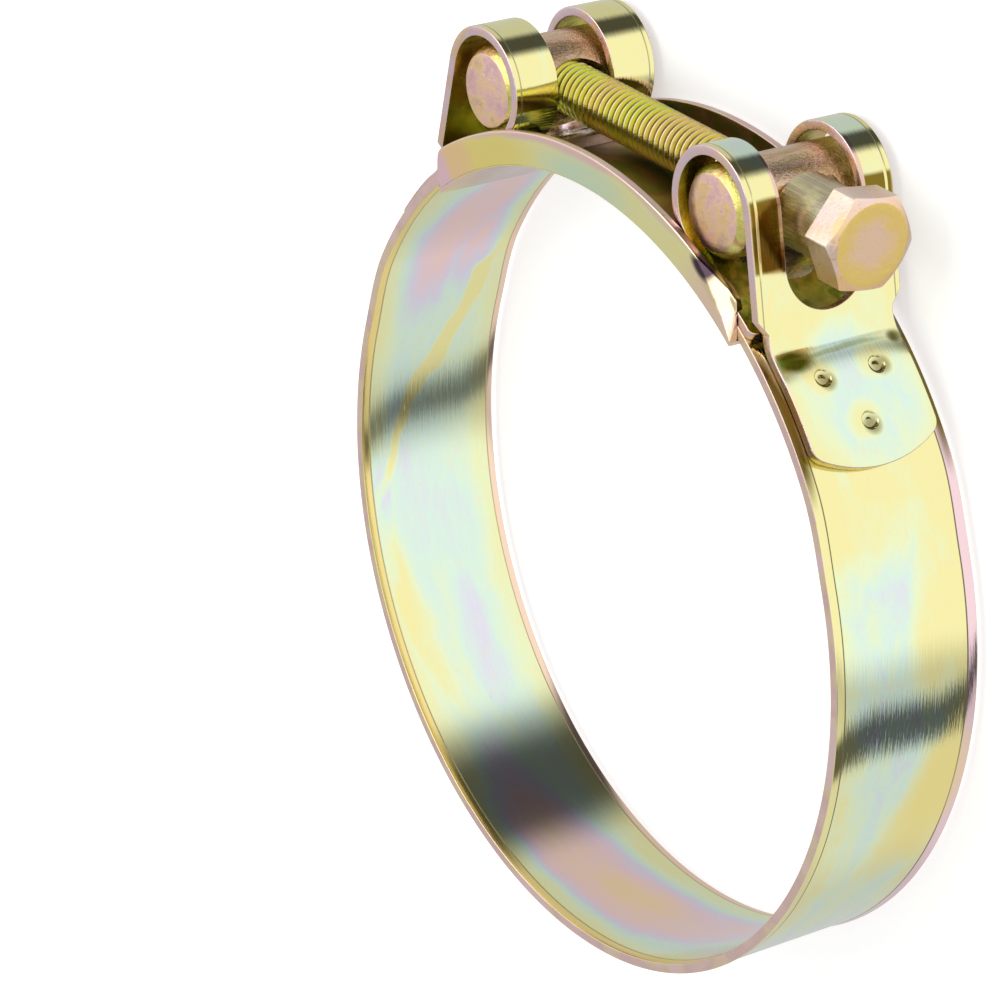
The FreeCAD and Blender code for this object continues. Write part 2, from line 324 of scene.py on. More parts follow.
def panel(bench, u, v, place, size):
    """A patch with straight sides: 1 inside, and a soft rim a fifth of its size wide."""
    across = abs(u - place[0] * 0.001) * (1000 / size[0])
    over = abs(v - place[1] * 0.001) * (1000 / size[1])
    return bench.step(across, 0.86, 1.0, 1.0, 0.0) * bench.step(over, 0.8, 1.0, 1.0, 0.0)


def sheet_metal(name, middle, spread, edge_drop, crease, rims, stains, rough, wave,
                wander=0.008, tints_and_shade=(), line_depth=0.85, panels=(), mottle=0.0):
    """The film on rolled sheet, drawn on the piece's own map: u along the strip, v across.

    `middle` is the thickness half way across, `spread` how far it strays, `edge_drop` how much
    thinner it is by the rims. Past `crease`, in millimetres, the film has the colours `rims`,
    and the crease itself gets a dark line of painted shade. `stains` are patches: place, size,
    slant and change of thickness. `tints_and_shade` are patches of colour laid over the film, some of
    them painted shade: place, size, slant, colour and strength. `panels` are the same with
    straight sides, for the painted shade and painted highlights on the flats that lie in the
    shade of the loops. `mottle` breaks the colour into blots a few millimetres long.
    """
    def paint(bench):
        sheet = bench.add("ShaderNodeUVMap", {"uv_map": "sheet"})
        u, v = bench.split(sheet)[:2]
        drift = bench.drawn(sheet, (55.0, 90.0, 1.0), 2.0) - 0.5
        slow = bench.drawn(sheet, (36.0, 85.0, 1.0), 1.5, 0.45, place=(3.0, 1.0, 0.0))
        wisps = bench.drawn(sheet, (120.0, 420.0, 1.0), 3.0, 0.6)
        rolled = bench.drawn(sheet, (150.0, 2300.0, 1.0), 3.0, 0.65)
        grain = bench.drawn(sheet, (1500.0, 4000.0, 1.0), 2.0, 0.6)
        off = abs(v)
        thickness = middle + (slow - 0.5) * spread + (wisps - 0.5) * 0.17 + (grain - 0.5) * 0.07
        if mottle:
            blots = bench.drawn(sheet, (130.0, 240.0, 1.0), 3.0, 0.6, 0.6, (0.0, 5.0, 0.0))
            thickness = thickness + (blots - 0.5) * mottle
        thickness = thickness - bench.step(off + drift * 0.008, 0.0055, 0.0112) * edge_drop
        for place, size, slant, change in stains:
            stain = blob(bench, u + drift * wander, v + drift * wander, place, size, slant)
            thickness = thickness + stain * change
        colour = bench.ramp(thickness, FILM_WALK)
        blotch = bench.drawn(sheet, (420.0, 620.0, 1.0), 3.0, 0.6)
        colour = bench.mix(bench.step(blotch, 0.55, 0.75) * 0.28, colour, PEACH)
        rim = bench.step(off, crease * 0.001 - 0.00005, crease * 0.001 + 0.00005)
        near_side = bench.step(v + drift * 0.004, -0.001, 0.001)
        colour = bench.mix(rim, colour, bench.mix(near_side, rims[0], rims[1]))
        # A thin dark line of painted shade along the crease.
        line = bench.step(abs(off - crease * 0.001), 0.00005, 0.00016, 1.0, 0.0)
        colour = bench.mix(line * line_depth, colour, CREASE_SHADE)
        # Patches of colour over the film; some of them are painted shade.
        for place, size, slant, shade, amount in tints_and_shade:
            mark = blob(bench, u + drift * 0.003, v + drift * 0.003, place, size, slant)
            colour = bench.mix(mark * (amount * 0.75 + wisps * amount * 0.5), colour, shade)
        for place, size, shade, amount in panels:
            shaded = panel(bench, u + drift * 0.0012, v, place, size)
            colour = bench.mix(shaded * (amount * 0.85 + wisps * amount * 0.3), colour, shade)
        scratches = bench.step(bench.drawn(sheet, (230.0, 1900.0, 1.0), 4.0, 0.7), 0.62, 0.72)
        roughness = rough + (rolled - 0.5) * 0.08 + scratches * 0.12 + line * 0.3
        return colour, roughness, (rolled + grain * 0.05 - rim * 0.9 + wisps * 0.25, wave)
    return metal(name, paint)


outer_stains = [
    ((57.0, 1.0), (13.0, 17.0), 0.0, -0.36), ((75.0, -7.0), (17.0, 6.5), 0.1, -0.36),
    ((107.0, -6.5), (17.0, 7.5), 0.2, -0.38), ((84.0, 9.0), (16.0, 3.0), 0.0, 0.1)]
inner_stains = [
    ((317.0, -1.5), (23.0, 8.6), -0.28, 0.40), ((307.0, -6.2), (9.0, 3.4), -0.28, 0.28),
    ((285.0, 0.5), (24.0, 1.7), -0.46, -0.46), ((298.0, -5.5), (7.0, 1.4), -0.46, -0.5),
    ((246.0, 7.4), (22.0, 3.0), 0.14, -0.30), ((262.0, 9.8), (14.0, 2.4), 0.0, 0.34),
    ((238.0, -2.0), (14.0, 3.6), 0.0, 0.16), ((184.0, 0.0), (42.0, 8.5), 0.12, 0.44),
    ((183.0, -1.5), (11.0, 4.0), 0.1, 0.12)]
# Painted shade in dark olive on the band's rims beside each tongue, where the tongue's edge shades
# them; the golden patch after it is the film's own tint.
outer_tints_and_shade = [((46.0, side * 11.9), (12.5, 1.8), 0.0, OLIVE, 1.2) for side in (1, -1)]
outer_tints_and_shade.append(((107.0, -6.5), (15.0, 6.5), 0.2, tone(0.98, 0.90, 0.54), 0.6))
band_film = sheet_metal(
    "band_film", 0.35, 0.5, 0.25, 10.7, (ROSE, YELLOW), outer_stains, 0.07, 0.00002,
    tints_and_shade=outer_tints_and_shade, mottle=0.5)
band_inner_film = sheet_metal(
    "band_inner_film", 0.33, 0.34, 0.24, 11.0, (PEACH, AMBER), inner_stains, 0.15, 0.000009,
    wander=0.006, line_depth=0.4, mottle=0.16)
print("sheet films:", band_film.name, band_inner_film.name)


# %% [markdown]
# Sheared edges are duller than the rolled faces. The film there is rose to beige, and
# fine marks run through the thickness.

# %% Films of the edges
def worked_metal(name, patches, rough, speckle, *stops, squeeze=(1.0, 1.0, 1.0), wave=0.00005):
    """The film on turned and cut parts, drawn in the piece's own space.

    `patches` is how fine the coloured patches are, `speckle` how fine the grain over them.
    """
    def paint(bench):
        here = bench.here()
        slow = bench.noise(bench.stretch(here, squeeze), patches, 2.5, 0.5, 0.4)
        fine = bench.noise(here, speckle, 4.0, 0.65)
        thickness = bench.step(slow, 0.25, 0.75) + (fine - 0.5) * 0.22
        colour = bench.ramp(thickness, walk(*stops))
        roughness = rough + (fine - 0.5) * 0.16
        return colour, roughness, (fine, wave)
    return metal(name, paint)


cut_edge = worked_metal(
    "cut_edge", 140.0, 0.3, 1500.0, (0.0, 0.94, 0.82, 0.79), (0.4, 0.90, 0.78, 0.76),
    (0.7, 0.93, 0.84, 0.73), (1.0, 0.95, 0.83, 0.84))
print("edge film:", cut_edge.name)


# %% [markdown]
# ## A pen for outlines
# Every sheet part starts as a drawn outline. The pen extrudes one vertex at a time:
# `line` pulls an edge to a point, `arc` spins the vertex round a centre. It is the same
# as drawing by hand with extrude and spin, but it keeps to the numbers. A round part is
# half of its outline spun about its axis, and a strip is a section spun round the bore.
# Where one shape cuts another, an exact boolean keeps the edges crisp.

# %% The pen
class Pen:
    def __init__(self, bm, x, y):
        self.bm = bm
        self.first = self.tip = bm.verts.new((x, y, 0.0))

    def line(self, x, y):
        made = bmesh.ops.extrude_vert_indiv(self.bm, verts=[self.tip])
        self.tip = made["verts"][0]
        self.tip.co = (x, y, 0.0)
        return self

    def arc(self, x, y, degrees, steps):
        made = bmesh.ops.spin(self.bm, geom=[self.tip], cent=(x, y, 0.0), axis=(0.0, 0.0, 1.0),
                              angle=math.radians(degrees), steps=steps, use_merge=False)
        self.tip = [g for g in made["geom_last"] if isinstance(g, bmesh.types.BMVert)][0]
        return self

    def close(self):
        bmesh.ops.contextual_create(self.bm, geom=[self.tip, self.first])


# %% Turn, spin and combine
def all_of(bm):
    return bm.verts[:] + bm.edges[:] + bm.faces[:]


def moved(made):
    """The points among what was made."""
    return [g for g in made["geom"] if isinstance(g, bmesh.types.BMVert)]


def turn_all(bm, degrees, axis):
    matrix = Matrix.Rotation(math.radians(degrees), 3, axis)
    bmesh.ops.rotate(bm, verts=bm.verts, cent=(0, 0, 0), matrix=matrix)


def spin_all(bm, degrees, steps, merge=False, climb=0.0):
    """Spins everything about Z. Each step also moves up by `climb`."""
    bmesh.ops.spin(bm, geom=all_of(bm), cent=(0, 0, 0), axis=(0, 0, 1), dvec=(0, 0, climb),
                   angle=math.radians(degrees), steps=steps, use_merge=merge)


def face_outward(bm):
    bmesh.ops.recalc_face_normals(bm, faces=bm.faces)


def thicken(bm, height):
    """Pulls a flat face up into a slab."""
    made = bmesh.ops.extrude_face_region(bm, geom=bm.faces[:], use_keep_orig=True)
    bmesh.ops.translate(bm, verts=moved(made), vec=(0, 0, height))
    face_outward(bm)


def round_edges(bm, edges, offset):
    bmesh.ops.bevel(bm, geom=edges, offset=offset, offset_type="OFFSET", segments=3, profile=0.5,
                    affect="EDGES", material=-1, clamp_overlap=False)


def turned(points, steps, place):
    """Spins a half outline, given as distance from the axis and place along it."""
    bm = bmesh.new()
    pen = Pen(bm, *points[0])
    for x, y in points[1:]:
        pen.line(x, y)
    turn_all(bm, 90, "X")
    spin_all(bm, 360, steps, merge=True)
    bmesh.ops.remove_doubles(bm, verts=bm.verts, dist=1e-4)
    face_outward(bm)
    bmesh.ops.transform(bm, matrix=place, verts=bm.verts)
    return bm


def swept(bm, start, sweep, steps):
    """Mirrors a half section, stands it up at the angle `start`, spins it and caps its ends."""
    bmesh.ops.mirror(bm, geom=all_of(bm), matrix=Matrix(), merge_dist=1e-4, axis="Y")
    turn_all(bm, 90, "X")
    turn_all(bm, start, "Z")
    spin_all(bm, sweep, steps)
    cap(bm)


def cap(bm):
    bmesh.ops.holes_fill(bm, edges=[edge for edge in bm.edges if edge.is_boundary], sides=0)


def combined(bm, others, operation):
    """Runs an exact boolean with each other body and hands back the result."""
    bodies = [put("work", as_mesh(source, "work")) for source in [bm, *others]]
    for other in bodies[1:]:
        cut = bodies[0].modifiers.new("cut", "BOOLEAN")
        cut.operation, cut.solver, cut.object = operation, "EXACT", other
    bpy.context.view_layer.update()
    seen = bodies[0].evaluated_get(bpy.context.evaluated_depsgraph_get())
    result = bmesh.new()
    result.from_mesh(seen.to_mesh())
    seen.to_mesh_clear()
    for gone in bodies:
        bpy.data.objects.remove(gone)
    return result


# %% [markdown]
# Every piece is finished in one way. It goes from millimetres to metres, its round faces
# are shaded smooth while its creases stay sharp, and it takes its node's place.

# %% Finish a piece
def new_piece(bm, name, node, body, materials, soft_angle=38.0, weighted=True):
    """Scales, shades and places a piece. A body of None leaves it unattached."""
    bmesh.ops.scale(bm, vec=(0.001, 0.001, 0.001), verts=bm.verts)
    mesh = as_mesh(bm, name)
    for material in materials:
        mesh.materials.append(material)
    for polygon in mesh.polygons:
        polygon.use_smooth = True
    mesh.set_sharp_from_angle(angle=math.radians(soft_angle))
    piece = put(name, mesh)
    if weighted:
        even = piece.modifiers.new("even_shade", "WEIGHTED_NORMAL")
        even.keep_sharp, even.weight = True, 60
    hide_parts(node)
    if body:
        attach(piece, body)
    print(name, "has", len(mesh.polygons), "faces")
    return piece


# %% [markdown]
# ## The band
# The strip is a thin profile swept round the bore. Both rims are turned out a little, so
# that they don't cut the hose, which shows as a yellow line between two creases. The
# profile is drawn once, spun from one end of the strip to the other, and its ends are
# lifted over the bridge floor with a smooth ramp.

# %% Sizes of the band
BORE = 60.0
THICK = 1.5
HALF = 12.3
QUARTER = 6.0
RIM = 0.16
TURN_UP = 0.25
INNER_CREASE, OUTER_CREASE = 10.9, 10.6
LIFT = 1.05
BOLT_END, NUT_END = 68.0, 103.7
RAMPS = ((20.0, 33.0), (164.0, 151.0))


def share_of_lift(angle):
    """0 on the round part, 1 where the strip lies on the bridge floor."""
    low, high = RAMPS[0] if angle < 86.0 else RAMPS[1]
    t = min(max((angle - low) / (high - low), 0.0), 1.0)
    return t * t * (3 - 2 * t)


print("lift at 60, 100, 180 degrees:", [round(share_of_lift(a), 2) for a in (60, 100, 180)])


# %% Draw the band's profile and spin it
bm = bmesh.new()
low, high = BORE + TURN_UP - 0.02 + RIM, BORE + TURN_UP + THICK - RIM
pen = Pen(bm, BORE, 0.0).line(BORE, QUARTER).line(BORE, INNER_CREASE)
pen.line(low - RIM, HALF - RIM).arc(low, HALF - RIM, -90, 4)
pen.line(high, HALF).arc(high, HALF - RIM, -90, 4)
pen.line(BORE + THICK, OUTER_CREASE).line(BORE + THICK, QUARTER).line(BORE + THICK, 0.0)
sweep = 360.0 - (NUT_END - BOLT_END)
swept(bm, BOLT_END, -sweep, 420)
print("band of", len(bm.faces), "faces over", round(sweep, 1), "degrees")


# %% Lift the ends of the band and flatten their rims
for vert in bm.verts:
    radius = vert.co.xy.length
    angle = math.degrees(math.atan2(vert.co.y, vert.co.x)) % 360.0
    share = share_of_lift(angle)
    crease = INNER_CREASE if radius < BORE + 0.7 else OUTER_CREASE
    rim_up = max(0.0, (abs(vert.co.z) - crease) / (HALF - crease)) * (TURN_UP - 0.05)
    wanted = radius + share * (LIFT - rim_up)
    vert.co.x *= wanted / radius
    vert.co.y *= wanted / radius
face_outward(bm)
sheet = bm.loops.layers.uv.new("sheet")
for face in bm.faces:
    middle = face.calc_center_median()
    flat = abs(face.normal.z)
    wall = face.normal.x * middle.x + face.normal.y * middle.y
    face.material_index = 1 if wall < 0 else 0
    if flat > 0.6 or len(face.verts) > 8:
        face.material_index = 2
    for corner in face.loops:
        run = (86.0 - math.degrees(math.atan2(corner.vert.co.y, corner.vert.co.x))) % 360.0
        corner[sheet].uv = (math.radians(run) * BORE * 0.001, corner.vert.co.z * 0.001)
band = new_piece(bm, "band_strip", "band", None, [band_film, band_inner_film, cut_edge], 30.0)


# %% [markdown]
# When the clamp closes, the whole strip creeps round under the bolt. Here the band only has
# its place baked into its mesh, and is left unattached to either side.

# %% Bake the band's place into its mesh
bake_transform(band)


# %% [markdown]
# ## The folded brackets
# Each bracket is one stamped strip, folded round its pin and back down on the band. It
# is easiest to make as it was made: stamp the flat blank with its slot, round the rims,
# press the weld dimples, cut it across where it will bend, and then fold it. The fold is
# a map from the length along the blank to a place on the path.

# %% Sizes of the brackets
STRIP = 1.5
STRIP_RIM = 0.2
LEG_MID = 63.4
LOOP_MID = 8.25
LEAN = 12.0
BEND = 4.0
LOOP_ANGLE = 67.0
LOOP_FROM_BORE = 71.65
WIDE = 12.2
TONGUE = 10.65
TONGUE_LENGTH = 18.0
TONGUE_END, TONGUE_CORNER = 19.3, 2.4
SHOULDER = 1.7
INNER_SLOT, OUTER_SLOT = 6.86, 2.61
DIMPLES = ((13.5, 4.6), (13.5, -4.6), (6.3, 0.0))
INNER_GAP = 3.9


def way(angle):
    """The direction that lies at an angle, in radians, round the bore."""
    return Vector((math.cos(angle), math.sin(angle)))


lean_way = way(math.radians(LEAN))
up_way = Vector((-lean_way.y, lean_way.x))
loop_centre = way(math.radians(LOOP_ANGLE)) * LOOP_FROM_BORE
leg_line = loop_centre.dot(lean_way) + LOOP_MID
bend_across = math.sqrt((LEG_MID + BEND) ** 2 - (leg_line + BEND) ** 2)
bend_centre = lean_way * (leg_line + BEND) + up_way * bend_across
bend_angle = math.degrees(math.atan2(bend_centre.y, bend_centre.x))
inner_end = bend_angle + math.degrees(INNER_GAP / LEG_MID)
runs = [math.radians(LOOP_ANGLE - inner_end) * LEG_MID,
        math.radians(LOOP_ANGLE + 180 - LEAN) * LOOP_MID,
        loop_centre.dot(up_way) - bend_across,
        math.radians(bend_angle - LEAN) * BEND,
        TONGUE_LENGTH]
stops = [sum(runs[:n]) for n in range(6)]
print("fold lengths:", [round(r, 2) for r in runs], "whole", round(stops[5], 2))


# %% The fold
def fold(u, over):
    """Place of the blank's point at length u, `over` millimetres above its middle."""
    if u < stops[1]:
        return way(math.radians(inner_end) + u / LEG_MID) * (LEG_MID - over)
    if u < stops[2]:
        angle = math.radians(LOOP_ANGLE + 180) - (u - stops[1]) / LOOP_MID
        return loop_centre + way(angle) * (LOOP_MID + over)
    if u < stops[3]:
        return lean_way * (leg_line + over) + up_way * (loop_centre.dot(up_way) - (u - stops[2]))
    if u < stops[4]:
        angle = math.radians(LEAN + 180) + (u - stops[3]) / BEND
        return bend_centre + way(angle) * (BEND - over)
    return way(math.radians(bend_angle) - (u - stops[4]) / LEG_MID) * (LEG_MID + over)


for u in stops:
    print("fold", round(u, 2), [round(c, 2) for c in fold(u, 0.0)])


# %% Draw one half of the blank
def draw_blank(bm, slot_half):
    """Half outline: inner end, long side, shoulder, rounded tongue, then back along the slot."""
    slot_high = stops[3] - OUTER_SLOT
    centre = stops[5] - TONGUE_END
    side = TONGUE - TONGUE_CORNER
    back = math.sqrt((TONGUE_END - TONGUE_CORNER) ** 2 - side ** 2)
    swing = math.degrees(math.atan2(side, back))
    pen = Pen(bm, 0.0, 0.0)
    pen.line(0.0, WIDE - 1.0).arc(1.0, WIDE - 1.0, -90, 8)
    pen.line(slot_high - 0.4, WIDE)
    pen.line(slot_high + SHOULDER, TONGUE)
    pen.line(centre + back, TONGUE).arc(centre + back, side, swing - 90, 12)
    pen.arc(centre, 0.0, -swing, 16)
    pen.line(slot_high, 0.0).arc(slot_high - slot_half, 0.0, 90, 24)
    pen.line(INNER_SLOT + slot_half, slot_half).arc(INNER_SLOT + slot_half, 0.0, 90, 24)
    pen.close()
    bmesh.ops.contextual_create(bm, geom=bm.edges[:])
    bmesh.ops.mirror(bm, geom=all_of(bm), matrix=Matrix(), merge_dist=1e-3, axis="Y")


# %% Press and fold the blank
def weld_dimple(u, z):
    """The punch of one spot-weld dimple: a ring-shaped crater with a pip left in its middle."""
    outline = [(0.0, 0.14), (0.28, 0.12), (0.48, 0.03), (0.62, 0.0), (0.86, 0.0),
               (1.08, 0.06), (1.2, 0.15), (1.42, 0.46), (1.42, 1.4), (0.0, 1.4)]
    return turned(outline, 32, Matrix.Translation((u, z, STRIP - 0.39)))


def bracket_body(slot_half):
    bm = bmesh.new()
    draw_blank(bm, slot_half)
    thicken(bm, STRIP)
    rims = [edge for edge in bm.edges if edge.calc_face_angle(0.0) > 1.2
            and abs(edge.verts[0].co.z - edge.verts[1].co.z) < 0.01]
    round_edges(bm, rims, STRIP_RIM)
    bm = combined(bm, [weld_dimple(stops[5] - rise, z) for rise, z in DIMPLES], "DIFFERENCE")
    cuts = [n * 0.9 for n in range(1, 17)]
    cuts += [stops[1] + (stops[2] - stops[1]) * n / 90 for n in range(91)]
    cuts += [stops[3] - 0.6 + 0.22 * n for n in range(34)]
    cuts += [stops[4] + 4.5 + 1.0 * n for n in range(14)]
    for u in cuts:
        bmesh.ops.bisect_plane(bm, geom=all_of(bm), dist=1e-5, plane_co=(u, 0, 0), plane_no=(1, 0, 0))
    for n in range(-11, 12):
        near = [face for face in bm.faces if stops[3] - 1 < face.calc_center_median().x < stops[4] + 5]
        edges = {edge for face in near for edge in face.edges}
        points = {vert for face in near for vert in face.verts}
        bmesh.ops.bisect_plane(bm, geom=[*near, *edges, *points], dist=1e-5,
                               plane_co=(0, n * 0.93, 0), plane_no=(0, 1, 0))
    return bm


def press_mark(u, v):
    """The press bends the tongue a hair too far just past the fold, and more so by its sides."""
    side = abs(v) / TONGUE
    place = stops[4] + 1.2 + 0.7 * side ** 3
    return -(0.03 + 0.12 * side ** 4) * math.exp(-((u - place) / (1.2 + 0.5 * side ** 2)) ** 2)


# %% [markdown]
# The blank is painted before it is folded, because only the flat blank knows what is a
# rolled face and what is a sheared edge. The map for the film is laid out at the same
# time, in metres along and across the strip.

# %% Films of the brackets
bracket_stains = [
    ((78.0, -0.8), (12.5, 12.0), 0.0, 0.34), ((39.0, 0.0), (5.5, 20.0), 0.0, 0.36),
    ((68.0, 0.0), (3.5, 5.0), 0.0, 0.12)]
# Painted shade along the bend of the tongue: darker olive patches at the fold and a thin greenish line
# across it.
fold_shade_at = stops[4] + 0.9
bracket_painted_shade = [
    ((fold_shade_at + 0.4, 8.0), (2.1, 4.0), 0.0, tone(0.36, 0.42, 0.12), 1.1),
    ((fold_shade_at, -9.6), (1.2, 1.6), 0.0, tone(0.40, 0.38, 0.16), 0.9),
    ((fold_shade_at, 0.0), (0.5, 9.0), 0.02, tone(0.60, 0.66, 0.40), 0.6)]
# Painted shade on the flat of each leg, with a painted highlight streak along its rolled rim and a
# pink line along its inner side.
shade, pink = tone(0.52, 0.44, 0.15), tone(0.93, 0.78, 0.72)
bracket_panels = []
for side in (1, -1):
    bracket_panels += [((52.2, side * 9.4), (5.3, 2.9), shade, 1.0),
                       ((52.2, side * 11.05), (6.2, 0.26), YELLOW, 1.0),
                       ((49.5, side * 7.1), (9.0, 0.42), pink, 0.9)]
for rise, z in DIMPLES:
    bracket_stains.append(((stops[5] - rise - 0.4, z + 0.4), (3.2, 3.4), 0.0, -0.3))
    # Painted shade in olive on one side of each weld dimple.
    bracket_painted_shade.append(((stops[5] - rise + 0.5, z - 0.5), (1.7, 1.7), 0.0, OLIVE, 0.7))
bracket_film = sheet_metal(
    "bracket_film", 0.03, 0.26, 0.0, 11.25, (YELLOW, YELLOW), bracket_stains, 0.08, 0.000022,
    wander=0.004, tints_and_shade=bracket_painted_shade, line_depth=0.45, panels=bracket_panels, mottle=0.3)
# Painted shade: a darker film for the inside of each loop and the undersides that lie against the pin
# and the band.
bracket_inside = worked_metal(
    "bracket_inside", 130.0, 0.24, 1200.0, (0.0, 0.80, 0.66, 0.34), (0.4, 0.80, 0.76, 0.36),
    (0.7, 0.66, 0.64, 0.24), (1.0, 0.82, 0.70, 0.44))
inner_leg = worked_metal(
    "inner_leg", 210.0, 0.2, 1200.0, (0.0, 0.66, 0.72, 0.30), (0.4, 0.90, 0.86, 0.46),
    (0.7, 0.58, 0.64, 0.26), (1.0, 0.90, 0.82, 0.50))
# Painted shade: a darker olive film on the end edge of each tongue.
end_edge = worked_metal(
    "end_edge", 150.0, 0.24, 1300.0, (0.0, 0.78, 0.70, 0.36), (0.5, 0.86, 0.78, 0.48),
    (1.0, 0.72, 0.62, 0.34))
bracket_edge = worked_metal(
    "bracket_edge", 120.0, 0.27, 1200.0, (0.0, 0.92, 0.80, 0.72), (0.35, 0.92, 0.79, 0.79),
    (0.6, 0.88, 0.80, 0.84), (0.8, 0.90, 0.77, 0.66), (1.0, 0.93, 0.84, 0.72), wave=0.00006)
print("bracket films:", bracket_film.name, bracket_inside.name, bracket_edge.name)


# %% Paint and fold the brackets
def make_bracket(slot_half, name, node, body, mirrored):
    bm = bracket_body(slot_half)
    sheet = bm.loops.layers.uv.new("sheet")
    shift = 0.5 if mirrored else 0.0
    for face in bm.faces:
        face.normal_update()
        up = face.normal.z
        along = face.calc_center_median().x
        middle = face.calc_center_median().xy
        pressed = min((middle - Vector((stops[5] - rise, z))).length for rise, z in DIMPLES) < 1.7
        face.material_index = 0 if up > 0.9 or pressed and up > -0.5 else 1 if up < -0.9 else 2
        if face.material_index == 2 and up < 0.5 and abs(face.normal.x) > 0.3 and along > stops[4]:
            face.material_index = 3
        if face.material_index == 1 and along < stops[1]:
            face.material_index = 4
        for corner in face.loops:
            spot = corner.vert.co
            corner[sheet].uv = (spot.x * 0.001 + shift, spot.y * 0.001)
    for vert in bm.verts:
        place = fold(vert.co.x, vert.co.z - STRIP / 2 + press_mark(vert.co.x, vert.co.y))
        vert.co = (place.x, place.y, vert.co.y)
    if mirrored:
        bmesh.ops.scale(bm, vec=(-1, 1, 1), verts=bm.verts)
    face_outward(bm)
    films = [bracket_film, bracket_inside, bracket_edge, end_edge, inner_leg]
    new_piece(bm, name, node, body, films, 42.0)


make_bracket(6.8, "head_side_bracket", "bolt_side_bracket", "clamp_frame", False)
make_bracket(4.8, "thread_side_bracket", "nut_side_bracket", "nut_side", True)


# %% [markdown]
# ## The bridge
# Under the gap lies a shallow channel. Its floor carries on the round of the bore, and
# its two walls stand up outside the rims of the band. The section is drawn once and spun
# along the floor. The walls are then shaped by pulling them down toward the floor at
# both ends, and at the head side their tops are crimped inward over the strip.

# %% Sizes of the bridge
FLOOR = 1.0
BASE = BORE + FLOOR
WALL_IN, WALL_OUT = 12.5, 13.7
WALL_TOP = 65.25
WALL_RIM = 0.25
FOOT_OUT, FOOT_IN = 0.8, 0.35
INSET = 1.22
RIGHT, LEFT = inner_end + math.degrees(INSET / LEG_MID), 130.3
WALL_LEFT = 127.65
RIGHT_LEAN, LEFT_LEAN, CORNER = 3.76, 2.93, 2.2
TAIL = 12.0
CRIMP_RUN, CRIMP_LEAN, CRIMP_MOST = 11.5, 0.62, 1.3


def wall_height(angle):
    """Radius of the wall's top at each angle: sloped ends, and a rounded corner at the free end."""
    rise = WALL_TOP - BASE
    right = math.radians(angle - RIGHT) * LEG_MID * rise / RIGHT_LEAN
    free = math.radians(WALL_LEFT - angle) * LEG_MID
    left = free * rise / LEFT_LEAN
    tilt = math.atan2(rise, LEFT_LEAN)
    far = LEFT_LEAN + CORNER * math.tan(tilt / 2)
    if far - CORNER * math.sin(tilt) < free < far:
        left = rise - CORNER + math.sqrt(CORNER ** 2 - (far - free) ** 2)
    return BASE + max(0.0, min(rise, left, right))


print("bridge from", round(RIGHT, 1), "to", LEFT, "wall", round(wall_height(100) - BASE, 2), "high")


# %% Draw the section of the bridge and spin it
bm = bmesh.new()
levels = (61.2, 61.9, 62.6, 63.3, 63.9, 64.5)
pen = Pen(bm, BORE, 0.0).line(BORE, QUARTER).line(BORE, WALL_OUT - FOOT_OUT)
pen.arc(BORE + FOOT_OUT, WALL_OUT - FOOT_OUT, -90, 6)
for radius in levels:
    pen.line(radius, WALL_OUT)
pen.line(WALL_TOP - WALL_RIM, WALL_OUT).arc(WALL_TOP - WALL_RIM, WALL_OUT - WALL_RIM, -90, 3)
pen.line(WALL_TOP, WALL_IN + WALL_RIM).arc(WALL_TOP - WALL_RIM, WALL_IN + WALL_RIM, -90, 3)
for radius in levels[:0:-1]:
    pen.line(radius, WALL_IN)
pen.line(BASE + FOOT_IN, WALL_IN).arc(BASE + FOOT_IN, WALL_IN - FOOT_IN, 90, 4)
pen.line(BASE, QUARTER).line(BASE, 0.0)
swept(bm, RIGHT, LEFT - RIGHT, 230)
print("bridge section spun:", len(bm.faces), "faces")


# %% Slope, round and crimp the walls
for vert in bm.verts:
    radius = vert.co.xy.length
    angle = math.degrees(math.atan2(vert.co.y, vert.co.x))
    outside = abs(vert.co.z) > (WALL_IN + WALL_OUT) / 2
    in_wall = abs(vert.co.z) > WALL_IN - 0.4
    if radius > BASE and in_wall:
        wanted = BASE + (radius - BASE) * (wall_height(angle) - BASE) / (WALL_TOP - BASE)
        vert.co.x *= wanted / radius
        vert.co.y *= wanted / radius
        radius = wanted
    if angle > WALL_LEFT:
        vert.co.z = max(-TAIL, min(TAIL, vert.co.z))
    above = radius - BASE - (angle - RIGHT) * (WALL_TOP - BASE) / CRIMP_RUN
    if in_wall and above > 0:
        lean_in = min(CRIMP_MOST, above * CRIMP_LEAN)
        lean_in *= 1.0 - max(0.0, 0.4 - above) / 0.4 * 0.5
        if not outside and radius < 64.25:
            lean_in = min(lean_in, 0.2)
        vert.co.z -= math.copysign(lean_in, vert.co.z)
bmesh.ops.remove_doubles(bm, verts=bm.verts, dist=1e-4)
bmesh.ops.dissolve_degenerate(bm, dist=1e-4, edges=bm.edges)
face_outward(bm)
print("bridge shaped:", len(bm.faces), "faces")


